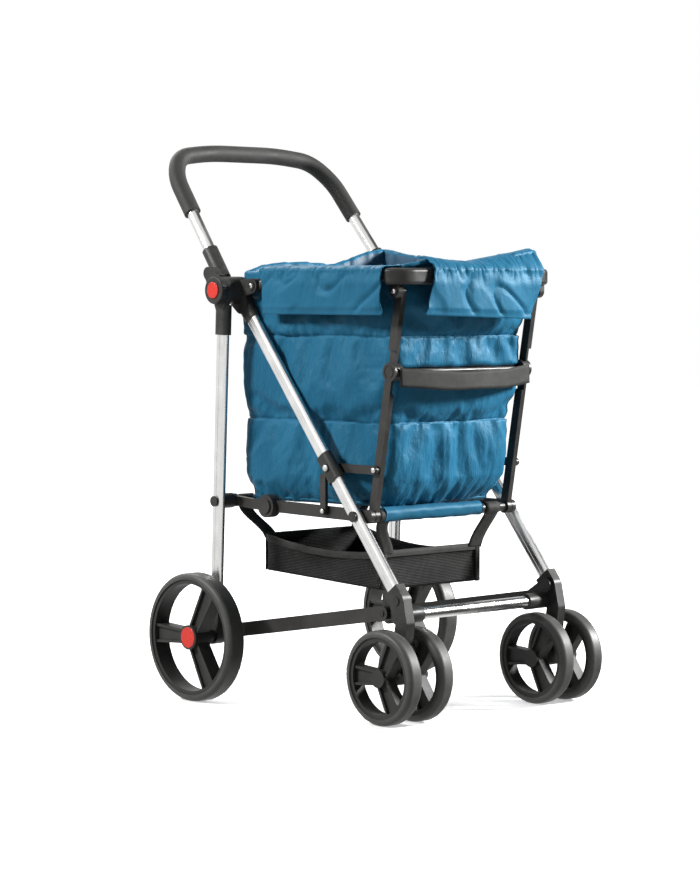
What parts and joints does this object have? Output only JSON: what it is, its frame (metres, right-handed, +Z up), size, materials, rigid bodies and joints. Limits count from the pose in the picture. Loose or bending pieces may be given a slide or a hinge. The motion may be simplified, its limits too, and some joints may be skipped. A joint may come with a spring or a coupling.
{
  "type": "four-wheel shopping trolley",
  "caption": "Folding push trolley with a tall quilted bag, mesh under-basket, twin front wheels, large rear wheels and a padded bar handle.",
  "frame": {"origin": "centre of the ground footprint of the whole box, on the floor", "axes": "+Z up, front towards -Y, +X to the left of a person who pushes"},
  "size_m": [0.5498, 0.6848, 0.9616],
  "materials": {
    "tyre_rubber": "matte, fine tread",
    "wheel_plastic": "satin moulded",
    "frame_plastic": "satin moulded",
    "dark_metal": "satin black paint",
    "silver_tube": "bright anodised",
    "steel": "zinc plated",
    "grip_foam": "soft foam",
    "red_plastic": "gloss",
    "bag_fabric": "quilted nylon",
    "mesh_fabric": "net with bound edges",
    "webbing": "woven webbing"
  },
  "bodies": {
    "front_frame": {"front_tube_right": "silver_tube", "front_tube_left": "silver_tube", "fork_right": "frame_plastic", "fork_left": "frame_plastic", "front_crossbar": "silver_tube", "front_fasteners": "frame_plastic", "front_axles": "steel", "hub_bracket_right": "frame_plastic", "hub_bracket_left": "frame_plastic", "hub_spindles": "steel"},
    "rear_frame": {"rear_tube_right": "silver_tube", "rear_tube_left": "silver_tube", "leg_hub_right": "frame_plastic", "leg_hub_left": "frame_plastic", "rear_foot_right": "frame_plastic", "rear_foot_left": "frame_plastic", "rear_cross_tube": "dark_metal", "rear_bolts": "frame_plastic", "rear_axles": "steel"},
    "rear_links": {"rear_link_right": "dark_metal", "rear_link_left": "dark_metal"},
    "middle_frame": {"mid_bar_right": "dark_metal", "mid_bar_left": "dark_metal", "front_cross_tube": "dark_metal", "cross_tube_sleeve": "bag_fabric", "basket": "mesh_fabric"},
    "runners": {"runner_right": "frame_plastic", "runner_left": "frame_plastic"},
    "post_links": {"post_links": "dark_metal"},
    "short_links": {"short_links": "dark_metal"},
    "lower_posts": {"lower_post_right": "dark_metal", "lower_post_left": "dark_metal"},
    "upper_posts": {"upper_post_right": "dark_metal", "upper_post_left": "dark_metal", "front_strap": "webbing"},
    "top_frame": {"top_frame": "dark_metal", "top_corners": "frame_plastic", "bag": "bag_fabric"},
    "lower_rails": {"lower_rail_right": "dark_metal", "lower_rail_left": "dark_metal"},
    "handle": {"handle_tube": "silver_tube", "handle_grip": "grip_foam", "handle_hub_right": "frame_plastic", "handle_hub_left": "frame_plastic"},
    "button_right": {"button_right": "red_plastic"},
    "button_left": {"button_left": "red_plastic"},
    "rear_wheel_right": {"rear_tyre_right": "tyre_rubber", "rear_rim_right": "wheel_plastic", "rear_cap_right": "red_plastic"},
    "front_wheel_outer_right": {"front_tyre_outer_right": "tyre_rubber", "front_rim_outer_right": "wheel_plastic"},
    "front_wheel_inner_right": {"front_tyre_inner_right": "tyre_rubber", "front_rim_inner_right": "wheel_plastic"},
    "rear_wheel_left": {"rear_tyre_left": "tyre_rubber", "rear_rim_left": "wheel_plastic", "rear_cap_left": "red_plastic"},
    "front_wheel_outer_left": {"front_tyre_outer_left": "tyre_rubber", "front_rim_outer_left": "wheel_plastic"},
    "front_wheel_inner_left": {"front_tyre_inner_left": "tyre_rubber", "front_rim_inner_left": "wheel_plastic"}
  },
  "joints": [
    {"name": "frame_fold", "type": "hinge", "parent": "front_frame", "child": "rear_frame", "pos_m": [0, 0.13354, 0.7025], "axis": [-1, 0, 0], "range_deg": [0, 27], "deforming": ["bag", "basket", "front_strap"]},
    {"name": "middle_bar_fold", "type": "hinge", "parent": "front_frame", "child": "middle_frame", "pos_m": [0, -0.16346, 0.331], "axis": [1, 0, 0], "range_deg": [0, 30.8]},
    {"name": "rear_link_fold", "type": "hinge", "parent": "rear_frame", "child": "rear_links", "pos_m": [0, 0.15054, 0.341], "axis": [-1, 0, 0], "range_deg": [0, 98.94]},
    {"name": "runner_slide", "type": "slide", "parent": "front_frame", "child": "runners", "axis": [0, 0.6218, 0.7831], "range_m": [0, 0.04192]},
    {"name": "post_link_swing", "type": "hinge", "parent": "runners", "child": "post_links", "pos_m": [0, -0.10003, 0.40833], "axis": [1, 0, 0], "range_deg": [0, 28.36]},
    {"name": "short_link_swing", "type": "hinge", "parent": "runners", "child": "short_links", "pos_m": [0, -0.07889, 0.39154], "axis": [-1, 0, 0], "range_deg": [0, 39.37]},
    {"name": "lower_post_fold", "type": "hinge", "parent": "middle_frame", "child": "lower_posts", "pos_m": [0, -0.17946, 0.331], "axis": [-1, 0, 0], "range_deg": [0, 56.2]},
    {"name": "top_frame_fold", "type": "hinge", "parent": "front_frame", "child": "top_frame", "pos_m": [0, 0.08704, 0.71], "axis": [1, 0, 0], "range_deg": [0, 14.08]},
    {"name": "upper_post_fold", "type": "hinge", "parent": "top_frame", "child": "upper_posts", "pos_m": [0, -0.24346, 0.701], "axis": [1, 0, 0], "range_deg": [0, 36.82]},
    {"name": "lower_rail_fold", "type": "hinge", "parent": "front_frame", "child": "lower_rails", "pos_m": [0, -0.22946, 0.177], "axis": [1, 0, 0], "range_deg": [0, 40.8]},
    {"name": "handle_fold", "type": "hinge", "parent": "front_frame", "child": "handle", "pos_m": [0, 0.13354, 0.7025], "axis": [-1, 0, 0], "range_deg": [0, 60]},
    {"name": "button_right_press", "type": "slide", "parent": "handle", "child": "button_right", "axis": [1, 0, 0], "range_m": [0, 0.0017], "stiffness_N_per_m": 600, "springref_m": -0.0015},
    {"name": "button_left_press", "type": "slide", "parent": "handle", "child": "button_left", "axis": [-1, 0, 0], "range_m": [0, 0.0017], "stiffness_N_per_m": 600, "springref_m": -0.0015},
    {"name": "rear_wheel_right_spin", "type": "hinge", "parent": "rear_frame", "child": "rear_wheel_right", "pos_m": [-0.256, 0.15784, 0.11], "axis": [1, 0, 0], "continuous": true},
    {"name": "front_wheel_outer_right_spin", "type": "hinge", "parent": "front_frame", "child": "front_wheel_outer_right", "pos_m": [-0.21565, -0.26476, 0.0776], "axis": [1, 0, 0], "continuous": true},
    {"name": "front_wheel_inner_right_spin", "type": "hinge", "parent": "front_frame", "child": "front_wheel_inner_right", "pos_m": [-0.14435, -0.26476, 0.0776], "axis": [1, 0, 0], "continuous": true},
    {"name": "rear_wheel_left_spin", "type": "hinge", "parent": "rear_frame", "child": "rear_wheel_left", "pos_m": [0.256, 0.15784, 0.11], "axis": [1, 0, 0], "continuous": true},
    {"name": "front_wheel_outer_left_spin", "type": "hinge", "parent": "front_frame", "child": "front_wheel_outer_left", "pos_m": [0.21565, -0.26476, 0.0776], "axis": [1, 0, 0], "continuous": true},
    {"name": "front_wheel_inner_left_spin", "type": "hinge", "parent": "front_frame", "child": "front_wheel_inner_left", "pos_m": [0.14435, -0.26476, 0.0776], "axis": [1, 0, 0], "continuous": true}
  ],
  "couplings": [
    {"joint": "middle_bar_fold", "follows": "frame_fold", "ratio": 1.1185},
    {"joint": "rear_link_fold", "follows": "frame_fold", "ratio": 3.5926},
    {"joint": "runner_slide", "follows": "frame_fold", "m_per_rad": 0.087217},
    {"joint": "post_link_swing", "follows": "frame_fold", "ratio": 1.0296},
    {"joint": "short_link_swing", "follows": "frame_fold", "ratio": 1.4296},
    {"joint": "lower_post_fold", "follows": "frame_fold", "ratio": 2.0407},
    {"joint": "top_frame_fold", "follows": "frame_fold", "ratio": 0.51111},
    {"joint": "upper_post_fold", "follows": "frame_fold", "ratio": 1.337},
    {"joint": "lower_rail_fold", "follows": "frame_fold", "ratio": 1.4815}
  ]
}
